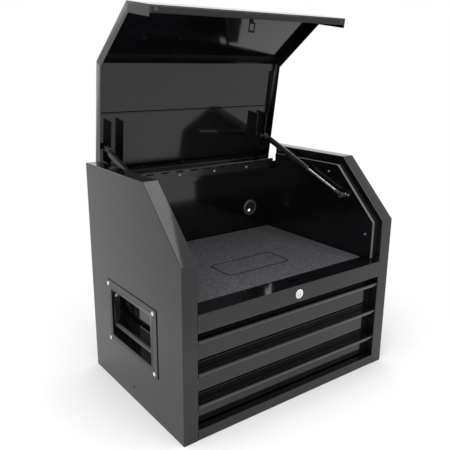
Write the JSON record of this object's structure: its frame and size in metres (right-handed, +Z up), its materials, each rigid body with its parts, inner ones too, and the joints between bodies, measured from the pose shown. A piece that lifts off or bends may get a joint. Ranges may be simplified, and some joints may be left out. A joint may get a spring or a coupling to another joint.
{
  "type": "machinist tool chest",
  "caption": "Sheet-steel top tool chest with sloped sides, a lift-up lid on gas struts over a lined tray, a cam lock, drawers on ball slides and recessed side handles.",
  "frame": {"origin": "on the floor under the middle of the chest's base", "axes": "+X to the right of someone facing the drawers, +Y to the back, +Z up"},
  "size_m": [0.7, 0.5116, 0.9837],
  "materials": {
    "gloss_black_paint": "gloss powder coat",
    "inner_black_paint": "satin powder coat",
    "mat_foam": "fine pebbled closed-cell foam",
    "seal_rubber": "matt sponge",
    "chrome": "polished",
    "zinc_steel": "zinc plated",
    "black_steel": "black painted",
    "black_plastic": "moulded",
    "screw_steel": "bright plated"
  },
  "bodies": {
    "chest": {"left_side_panel": "gloss_black_paint", "right_side_panel": "gloss_black_paint", "left_inner_wall": "inner_black_paint", "right_inner_wall": "inner_black_paint", "back_panel": "gloss_black_paint", "base_pan": "inner_black_paint", "bottom_rail": "gloss_black_paint", "lock_rail": "gloss_black_paint", "deck_panel": "inner_black_paint", "foam_mat": "mat_foam", "hinge_fixed_leaf": "black_steel", "hinge_pin": "black_steel", "body_screws": "screw_steel", "left_handle_plate": "gloss_black_paint", "right_handle_plate": "gloss_black_paint", "handle_screws": "chrome", "side_rivets": "black_steel", "handle_pivots": "chrome", "strut_wall_studs": "chrome", "grommet_ring": "black_plastic", "lock_housing": "chrome", "lock_nut": "zinc_steel", "slide_outers": "zinc_steel"},
    "lid": {"lid_panel": "gloss_black_paint", "lid_stiffener": "inner_black_paint", "lid_seal": "seal_rubber", "left_strut_bracket": "inner_black_paint", "right_strut_bracket": "inner_black_paint", "hinge_lid_leaf": "black_steel", "lid_screws": "screw_steel", "strut_lid_studs": "chrome", "lid_striker": "black_steel"},
    "left_rod": {"left_strut_rod": "chrome", "left_strut_rod_socket": "black_plastic"},
    "left_tube": {"left_strut_tube": "black_steel", "left_strut_tube_socket": "black_plastic"},
    "right_rod": {"right_strut_rod": "chrome", "right_strut_rod_socket": "black_plastic"},
    "right_tube": {"right_strut_tube": "black_steel", "right_strut_tube_socket": "black_plastic"},
    "lock": {"lock_plug": "chrome", "lock_cam": "zinc_steel"},
    "cable_cover": {"grommet_cover": "black_plastic"},
    "left_bail": {"left_handle_bail": "black_steel"},
    "right_bail": {"right_handle_bail": "black_steel"},
    "drawer_1": {"drawer_1_front": "gloss_black_paint", "drawer_1_pull": "gloss_black_paint", "drawer_1_tray": "inner_black_paint", "drawer_1_slide_inners": "zinc_steel"},
    "drawer_1_middles": {"drawer_1_slide_middles": "zinc_steel"},
    "drawer_2": {"drawer_2_front": "gloss_black_paint", "drawer_2_pull": "gloss_black_paint", "drawer_2_tray": "inner_black_paint", "drawer_2_slide_inners": "zinc_steel"},
    "drawer_2_middles": {"drawer_2_slide_middles": "zinc_steel"},
    "drawer_3": {"drawer_3_front": "gloss_black_paint", "drawer_3_pull": "gloss_black_paint", "drawer_3_tray": "inner_black_paint", "drawer_3_slide_inners": "zinc_steel"},
    "drawer_3_middles": {"drawer_3_slide_middles": "zinc_steel"}
  },
  "joints": [
    {"name": "lid_hinge", "type": "hinge", "parent": "chest", "child": "lid", "pos_m": [0, 0.225, 0.545], "axis": [-1, 0, 0], "range_deg": [-81.5, 0], "stiffness_Nm_per_rad": 2, "springref_deg": 126.05},
    {"name": "left_strut_swing", "type": "hinge", "parent": "chest", "child": "left_rod", "pos_m": [-0.281, -0.102, 0.487], "axis": [-1, 0, 0], "range_deg": [0, 2.25]},
    {"name": "left_strut_stroke", "type": "slide", "parent": "left_rod", "child": "left_tube", "axis": [0, 0.9303, 0.3669], "range_m": [-0.1068, 0]},
    {"name": "right_strut_swing", "type": "hinge", "parent": "chest", "child": "right_rod", "pos_m": [0.281, -0.102, 0.487], "axis": [-1, 0, 0], "range_deg": [0, 2.25]},
    {"name": "right_strut_stroke", "type": "slide", "parent": "right_rod", "child": "right_tube", "axis": [0, 0.9303, 0.3669], "range_m": [-0.1068, 0]},
    {"name": "drawer_1_slide", "type": "slide", "parent": "chest", "child": "drawer_1", "axis": [0, -1, 0], "range_m": [0, 0.4]},
    {"name": "drawer_1_middle_slide", "type": "slide", "parent": "chest", "child": "drawer_1_middles", "axis": [0, -1, 0], "range_m": [0, 0.2]},
    {"name": "drawer_2_slide", "type": "slide", "parent": "chest", "child": "drawer_2", "axis": [0, -1, 0], "range_m": [0, 0.4]},
    {"name": "drawer_2_middle_slide", "type": "slide", "parent": "chest", "child": "drawer_2_middles", "axis": [0, -1, 0], "range_m": [0, 0.2]},
    {"name": "drawer_3_slide", "type": "slide", "parent": "chest", "child": "drawer_3", "axis": [0, -1, 0], "range_m": [0, 0.4]},
    {"name": "drawer_3_middle_slide", "type": "slide", "parent": "chest", "child": "drawer_3_middles", "axis": [0, -1, 0], "range_m": [0, 0.2]},
    {"name": "lock_turn", "type": "hinge", "parent": "chest", "child": "lock", "pos_m": [0, -0.235, 0.295], "axis": [0, -1, 0], "range_deg": [0, 90]},
    {"name": "cable_cover_turn", "type": "hinge", "parent": "chest", "child": "cable_cover", "pos_m": [0.215, 0.2326, 0.391], "axis": [0, -1, 0], "range_deg": [-180, 180]},
    {"name": "left_bail_swing", "type": "hinge", "parent": "chest", "child": "left_bail", "pos_m": [-0.333, 0.0095, 0.256], "axis": [0, 1, 0], "range_deg": [0, 90]},
    {"name": "right_bail_swing", "type": "hinge", "parent": "chest", "child": "right_bail", "pos_m": [0.333, 0.0095, 0.256], "axis": [0, -1, 0], "range_deg": [0, 90]}
  ],
  "couplings": [
    {"joint": "left_strut_swing", "follows": "lid_hinge", "ratio": -0.0271},
    {"joint": "left_strut_stroke", "follows": "lid_hinge", "m_per_rad": 0.07361},
    {"joint": "right_strut_swing", "follows": "lid_hinge", "ratio": -0.0271},
    {"joint": "right_strut_stroke", "follows": "lid_hinge", "m_per_rad": 0.07361},
    {"joint": "drawer_1_middle_slide", "follows": "drawer_1_slide", "ratio": 0.5},
    {"joint": "drawer_2_middle_slide", "follows": "drawer_2_slide", "ratio": 0.5},
    {"joint": "drawer_3_middle_slide", "follows": "drawer_3_slide", "ratio": 0.5}
  ]
}
